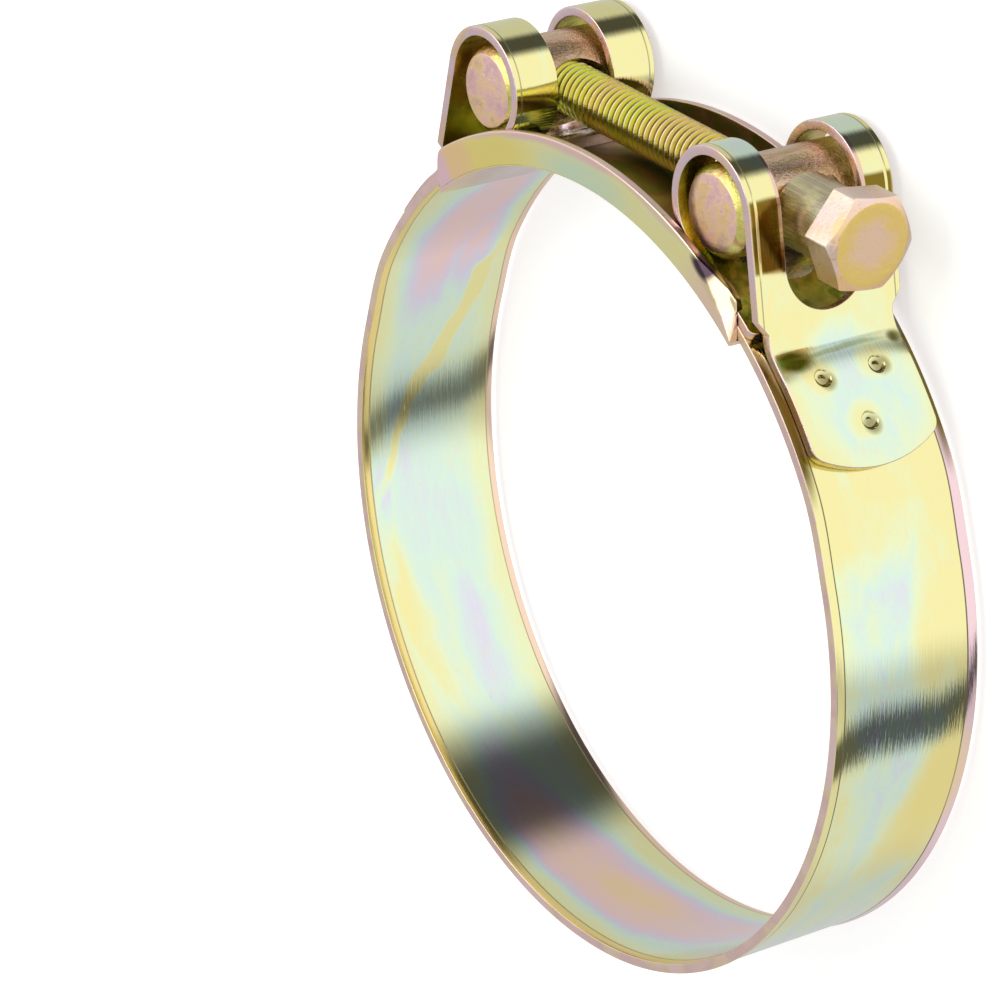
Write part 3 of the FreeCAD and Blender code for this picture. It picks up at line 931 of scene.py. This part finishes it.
# %% Films of the bridge
CRIMP_END = 66.0
sheet = bm.loops.layers.uv.new("sheet")
for face in bm.faces:
    middle = face.calc_center_median()
    outward = (face.normal.x * middle.x + face.normal.y * middle.y) / middle.xy.length
    angle = math.degrees(math.atan2(middle.y, middle.x))
    faces_up = outward > 0.5 and angle > CRIMP_END
    if faces_up and middle.xy.length > 62.0 and abs(middle.z) > 11:
        face.material_index = 1
    elif faces_up or face.normal.z * middle.z < -0.3 * abs(middle.z):
        face.material_index = 2
    if angle > WALL_LEFT - 0.4 and abs(outward) < 0.7:
        face.material_index = 1
    for corner in face.loops:
        spot = corner.vert.co
        run = math.atan2(spot.y, spot.x) * BORE
        rise = spot.xy.length - BORE
        corner[sheet].uv = (run * 0.001, (spot.z + math.copysign(rise, spot.z)) * 0.001)
bridge_tints_and_shade = [
    ((118.0, 15.5), (14.0, 4.0), 0.0, tone(0.98, 0.91, 0.52), 0.9),
    ((127.5, 15.8), (6.0, 5.0), 0.0, tone(1.0, 0.85, 0.64), 1.0),
    ((133.0, 15.6), (4.6, 7.0), 0.0, tone(0.97, 0.82, 0.86), 1.3),
    ((94.0, 15.0), (13.0, 4.0), 0.0, tone(0.84, 0.93, 0.82), 0.8),
    ((60.0, 15.5), (11.0, 6.0), 0.0, tone(0.97, 0.86, 0.76), 1.0),
    ((100.0, 18.9), (36.0, 1.3), 0.0, tone(0.95, 0.80, 0.80), 0.9),
    ((62.0, 17.4), (7.0, 1.3), 0.0, tone(0.92, 0.84, 0.68), 1.0),
    # Painted shadow spot where the crimp's dent begins.
    ((66.8, 18.1), (2.7, 1.3), 0.0, tone(0.30, 0.24, 0.28), 1.2),
    ((124.0, 2.0), (26.0, 11.5), 0.0, tone(0.86, 0.78, 0.77), 1.3)]
bridge_film = sheet_metal("bridge_film", 0.0, 0.22, 0.0, 30.0, (ROSE, ROSE), (), 0.17, 0.00001,
                          tints_and_shade=bridge_tints_and_shade)
# Painted shade: a darker film for the channel's floor and the inner faces of its walls.
bridge_floor = worked_metal(
    "bridge_floor", 110.0, 0.36, 1500.0, (0.0, 0.66, 0.60, 0.34), (0.35, 0.58, 0.46, 0.30),
    (0.65, 0.50, 0.52, 0.24), (1.0, 0.70, 0.54, 0.40), wave=0.00006)
films = [bridge_film, cut_edge, bridge_floor]
new_piece(bm, "bridge_channel", "bridge", "clamp_frame", films, 35.0)


# %% [markdown]
# ## The cross pins
# Both pins are turned from bar and chamfered at their ends. The head-side pin has a plain
# hole with a flat for the spacer, and the other is threaded, with a countersink where
# the bolt goes in. Each pin is a half outline spun round its axis, less its holes.

# %% Sizes of the pins
PIN_X, PIN_Y = 27.722, 65.31
PIN_RADIUS, SEAT_RADIUS = 6.7, 6.2
SEAT_FLAT = 5.2
CLEAR_HOLE, TAPPED_HOLE, LEAD = 4.25, 4.06, 4.7
PAST_PIN = 12.0
ALONG_X = Matrix.Rotation(math.radians(90), 4, "Y")
half_pin = [(0, 11.6), (5.35, 11.6), (5.5, 11.56), (6.64, 10.46), (PIN_RADIUS, 10.3)]
pin_outline = [(x, -y) for x, y in half_pin] + half_pin[::-1]


def on_bolt(x):
    """Stands a turned shape on the axis of the bolt, at x."""
    return Matrix.Translation((x, PIN_Y, 0)) @ ALONG_X


print("pin outline of", len(pin_outline), "points")


# %% Films of the pins
pin_film = worked_metal(
    "pin_film", 190.0, 0.27, 1900.0, (0.0, 0.72, 0.60, 0.44), (0.3, 0.90, 0.77, 0.66),
    (0.5, 0.80, 0.68, 0.50), (0.7, 0.94, 0.80, 0.70), (1.0, 0.82, 0.74, 0.52),
    squeeze=(1, 1, 0.5), wave=0.00013)


def pin_end_paint(bench):
    """Rose with a straw blot and hair scratches, and a brown rim on one side that is painted shade of
    the loop.
    """
    here = bench.here()
    slow = bench.noise(here, 230.0, 3.0, 0.6, 0.3)
    fine = bench.noise(here, 2200.0, 4.0, 0.65)
    scratch = bench.step(bench.drawn(here, (500.0, 3800.0, 1.0), 2.0, 0.6, 1.4), 0.58, 0.66)
    colour = bench.ramp(slow + (fine - 0.5) * 0.2, walk(
        (0.34, 0.90, 0.73, 0.74), (0.46, 0.96, 0.80, 0.76), (0.56, 0.97, 0.83, 0.60),
        (0.68, 0.88, 0.74, 0.66)))
    colour = bench.mix(scratch * 0.5, colour, tone(0.99, 0.93, 0.88))
    # Painted shade: a brown crescent on one side of the pin end's rim.
    x, y = bench.split(here)[:2]
    off_x, off_y = x - (PIN_X + 1.2) * 0.001, y - (PIN_Y + 0.9) * 0.001
    away = (off_x * off_x + off_y * off_y) ** 0.5
    wear_and_shade = bench.step(away + (slow - 0.5) * 0.002, 0.0050, 0.0062) * bench.step(x, -0.001, 0.001)
    colour = bench.mix(wear_and_shade * 0.85, colour, tone(0.46, 0.31, 0.22))
    return colour, 0.34 + (fine - 0.5) * 0.2, (fine * 0.6 - scratch * 0.5, 0.00007)


pin_face = metal("pin_face", pin_end_paint)
pin_chamfer = worked_metal(
    "pin_chamfer", 200.0, 0.24, 1500.0, (0.0, 0.74, 0.66, 0.36), (0.4, 0.86, 0.84, 0.48),
    (0.7, 0.80, 0.62, 0.42), (1.0, 0.90, 0.88, 0.56), wave=0.0001)
print("pin films:", pin_film.name, pin_face.name, pin_chamfer.name)


# %% Turn the pins and cut their holes
def make_pin(punches, name, node, body, side):
    bm = turned(pin_outline, 112, Matrix.Translation((side * PIN_X, PIN_Y, 0)))
    bm = combined(bm, punches, "DIFFERENCE")
    bmesh.ops.remove_doubles(bm, verts=bm.verts, dist=1e-4)
    for face in bm.faces:
        away = (face.calc_center_median().xy - Vector((side * PIN_X, PIN_Y))).length
        end = abs(face.normal.z)
        face.material_index = 1 if end > 0.9 and away < 6 else 2 if end > 0.5 and away > 5 else 0
    films = [pin_film, pin_face, pin_chamfer]
    piece = new_piece(bm, name, node, body, films, 32.0, weighted=False)
    soften = piece.modifiers.new("soften", "BEVEL")
    soften.width, soften.segments, soften.limit_method = 0.00012, 2, "ANGLE"
    soften.angle_limit, soften.harden_normals = math.radians(38), True


def punch(outline, steps, x):
    """A cutter that reaches past the pin on both sides of the given outline."""
    closed = [(0, outline[0][1]), *outline, (outline[-1][0], PAST_PIN), (0, PAST_PIN)]
    return turned(closed, steps, on_bolt(x))


seat = punch([(SEAT_RADIUS, SEAT_FLAT)], 72, PIN_X)
clear = punch([(CLEAR_HOLE, -PAST_PIN)], 56, PIN_X)
tapped = punch([(TAPPED_HOLE, -PAST_PIN), (TAPPED_HOLE, LEAD),
                (SEAT_RADIUS, LEAD + SEAT_RADIUS - TAPPED_HOLE)], 56, -PIN_X)
make_pin([seat, clear], "plain_cross_pin", "plain_trunnion", "head_pin", 1)
make_pin([tapped], "threaded_cross_pin", "threaded_trunnion", "nut_pin", -1)


# %% [markdown]
# ## The bolt
# The thread is what the eye goes to, so it is cut for real: one pitch of the profile is
# spun round the bolt's axis while it moves along by a pitch each turn. The ends are cut
# square, capped, and the tip is turned down to a chamfer.

# %% Cut the thread
PITCH = 1.25
STEPS = 40
SPACER = 9.8
BOLT_LENGTH, PLAIN_LENGTH = 80.0, 8.0
HEAD_UNDER = PIN_X + SEAT_FLAT + SPACER
TIP = HEAD_UNDER - BOLT_LENGTH
THREAD_OUT, THREAD_ROOT, TIP_RADIUS = 3.98, 3.30, 3.1
thread_end = HEAD_UNDER - PLAIN_LENGTH
bm = bmesh.new()
pen = Pen(bm, THREAD_ROOT, 0.0).line(THREAD_ROOT + 0.04, 0.10).line(THREAD_OUT - 0.06, 0.46)
pen.line(THREAD_OUT, 0.53).line(THREAD_OUT, 0.66).line(THREAD_OUT - 0.06, 0.73)
pen.line(THREAD_ROOT + 0.04, 1.09).line(THREAD_ROOT, 1.19).line(THREAD_ROOT, PITCH)
turn_all(bm, 90, "X")
spin_all(bm, 360, STEPS, climb=PITCH / STEPS)
turns = 1
while turns * PITCH < thread_end - TIP + 3 * PITCH:
    made = bmesh.ops.duplicate(bm, geom=all_of(bm))
    bmesh.ops.translate(bm, verts=moved(made), vec=(0, 0, turns * PITCH))
    turns *= 2
bmesh.ops.remove_doubles(bm, verts=bm.verts, dist=1e-3)
bmesh.ops.transform(bm, matrix=on_bolt(TIP - 1.5 * PITCH), verts=bm.verts)
for plane, side in ((TIP, -1), (thread_end, 1)):
    bmesh.ops.bisect_plane(bm, geom=all_of(bm), dist=1e-5, plane_co=(plane, 0, 0),
                           plane_no=(side, 0, 0), clear_outer=True)
cap(bm)
for vert in bm.verts:
    across = Vector((vert.co.y - PIN_Y, vert.co.z))
    limit = TIP_RADIUS + (vert.co.x - TIP)
    if across.length > limit:
        across *= limit / across.length
        vert.co.y, vert.co.z = PIN_Y + across.x, across.y
face_outward(bm)
print("thread of", turns, "turns,", len(bm.faces), "faces")


# %% [markdown]
# The head is a hexagon forged with a flat round face and a slope at its corners. A prism
# made from a six-sided circle meets a turned cone, and only what is inside both is kept.
# The edges are then softened, because a forged head has no sharp ones. Its face is bare.

# %% Forge the head
HEAD_HEIGHT, HEAD_FLATS, HEAD_TURN = 5.3, 13.0, 7.8
prism = bmesh.new()
bmesh.ops.create_circle(prism, cap_ends=True, cap_tris=False, segments=6,
                        radius=HEAD_FLATS / math.sqrt(3))
thicken(prism, HEAD_HEIGHT)
upright = [edge for edge in prism.edges if abs(edge.verts[0].co.z - edge.verts[1].co.z) > 1]
round_edges(prism, upright, 0.28)
crown = [(8.2, 1.42), (7.2, 0.72), (6.2, 0.14), (5.95, 0.03), (5.75, 0.0), (5.2, 0.0), (0, 0.0)]
cone = turned([(0, -0.5), (8.2, -0.5)] + [(x, HEAD_HEIGHT - down) for x, down in crown], 96, Matrix())
head = combined(prism, [cone], "INTERSECT")
turn_head = Matrix.Rotation(math.radians(90 - HEAD_TURN), 4, "X")
place_head = Matrix.Translation((HEAD_UNDER, PIN_Y, 0)) @ turn_head @ ALONG_X
bmesh.ops.transform(head, matrix=place_head, verts=head.verts)
print("head of", len(head.faces), "faces")


# %% Join thread, shank and head
shank = turned([(0, -PLAIN_LENGTH - 0.4), (3.5, -PLAIN_LENGTH - 0.4), (3.97, -PLAIN_LENGTH + 0.1),
                (3.97, 0.2), (0, 0.2)], 48, on_bolt(HEAD_UNDER))
for part, number in ((head, 1), (shank, 2)):
    known = set(bm.faces)
    bm.from_mesh(as_mesh(part, "part"))
    for face in bm.faces:
        if face not in known:
            face.material_index = number
for face in bm.faces:
    if face.material_index == 1 and face.normal.x > 0.97:
        face.material_index = 3
print("bolt of", len(bm.faces), "faces")


# %% Films of the bolt
def round_the_bolt(bench):
    """A point's place, and how far it is along, above and away from the bolt's axis."""
    here = bench.here()
    along, y, z = bench.split(here)
    above = y - PIN_Y * 0.001
    return here, along, above, (above * above + z * z) ** 0.5


def thread_paint(bench):
    """Straw to olive flanks, with a painted highlight on the crests and painted shade in the root."""
    here, along, _, height = round_the_bolt(bench)
    crest = bench.step(height, 0.00386, 0.00397)
    root = bench.step(height, 0.0034, 0.0037, 1.0, 0.0)
    slow = bench.noise(here, 120.0, 2.0)
    fine = bench.noise(here, 1600.0, 3.0, 0.6)
    flank = bench.ramp(slow + bench.step(along, -0.012, 0.02) * 0.22, walk(
        (0.3, 0.76, 0.80, 0.22), (0.5, 0.84, 0.78, 0.26), (0.7, 0.84, 0.72, 0.36)))
    # Painted highlight on the crests, then painted shade in the root.
    colour = bench.mix(crest * 0.9, flank, tone(0.97, 0.90, 0.76))
    colour = bench.mix(root * 0.8, colour, tone(0.30, 0.25, 0.09))
    return colour, 0.24 + (fine - 0.5) * 0.2 + root * 0.2, (fine, 0.00004)


def head_paint(bench):
    """Gold and rose on the forged head, paler where its corners have rubbed on their neighbours."""
    here, _, above, away = round_the_bolt(bench)
    slow = bench.noise(here, 170.0, 2.5, 0.5, 0.4)
    fine = bench.noise(here, 1500.0, 4.0, 0.65)
    colour = bench.ramp(slow + (fine - 0.5) * 0.12, walk(
        (0.3, 0.99, 0.86, 0.62), (0.45, 0.99, 0.85, 0.74), (0.6, 0.98, 0.87, 0.84),
        (0.75, 0.97, 0.88, 0.72)))
    wear_and_shade = bench.step(away + (fine - 0.5) * 0.0006, 0.0066, 0.0073)
    colour = bench.mix(wear_and_shade * 0.6, colour, tone(0.99, 0.93, 0.86))
    # Painted shade: the head's lower side is darker and more orange.
    low_side = bench.step(above + (slow - 0.5) * 0.004, -0.0058, -0.0012, 1.0, 0.0)
    colour = bench.mix(low_side * 0.7, colour, tone(0.96, 0.77, 0.56))
    pits = bench.step(fine, 0.32, 0.38, 1.0, 0.0)
    colour = bench.mix(pits * 0.3, colour, OLIVE)
    return colour, 0.3 + (fine - 0.5) * 0.16, (fine, 0.00006)


def face_paint(bench):
    """The bare face of the head: rose in the middle, turning gold toward its rim."""
    here, _, _, away = round_the_bolt(bench)
    slow = bench.noise(here, 320.0, 3.0, 0.6)
    fine = bench.noise(here, 1800.0, 4.0, 0.65)
    gold = bench.step(away + (slow - 0.5) * 0.006, 0.0014, 0.0052)
    colour = bench.mix(gold, tone(1.0, 0.87, 0.76), tone(1.0, 0.88, 0.54))
    colour = bench.mix(bench.step(fine, 0.6, 0.8) * 0.4, colour, tone(0.94, 0.80, 0.70))
    return colour, 0.5 + (fine - 0.5) * 0.2, (fine + slow * 0.5, 0.00008)


thread_film = metal("thread_film", thread_paint)
head_film = metal("head_film", head_paint)
head_face = metal("head_face", face_paint)
films = [thread_film, head_film, thread_film, head_face]
new_piece(bm, "bolt_with_thread", "bolt", "bolt", films, 34.0)


# %% [markdown]
# ## The spacer
# Between the pin and the head sits a short drawn tube. Drawing leaves fine lines along
# it, so its bright spots break into streaks that run with the bolt.

# %% The spacer and its film
def drawn_film(bench):
    """Straw and grey, in fine lines along the tube."""
    here = bench.here()
    lines = bench.drawn(here, (70.0, 2400.0, 2400.0), 3.0, 0.65)
    slow = bench.noise(here, 140.0, 2.0)
    colour = bench.ramp(slow + (lines - 0.5) * 0.5, walk(
        (0.2, 0.64, 0.62, 0.44), (0.42, 0.88, 0.85, 0.66), (0.55, 0.76, 0.71, 0.60),
        (0.75, 0.76, 0.80, 0.72)))
    return colour, 0.2 + lines * 0.14, (lines, 0.00012)


spacer_film = metal("spacer_film", drawn_film)
SPACER_IN, SPACER_OUT, EDGE = 4.3, 5.45, 0.25
near_end = [(SPACER_IN, EDGE), (SPACER_IN + EDGE, 0.0), (SPACER_OUT - EDGE, 0.0), (SPACER_OUT, EDGE)]
outline = near_end + [(x, SPACER - y) for x, y in near_end[::-1]] + near_end[:1]
bm = turned(outline, 96, on_bolt(HEAD_UNDER - SPACER))
new_piece(bm, "spacer_tube", "spacer_sleeve", "sleeve", [spacer_film], 32.0)
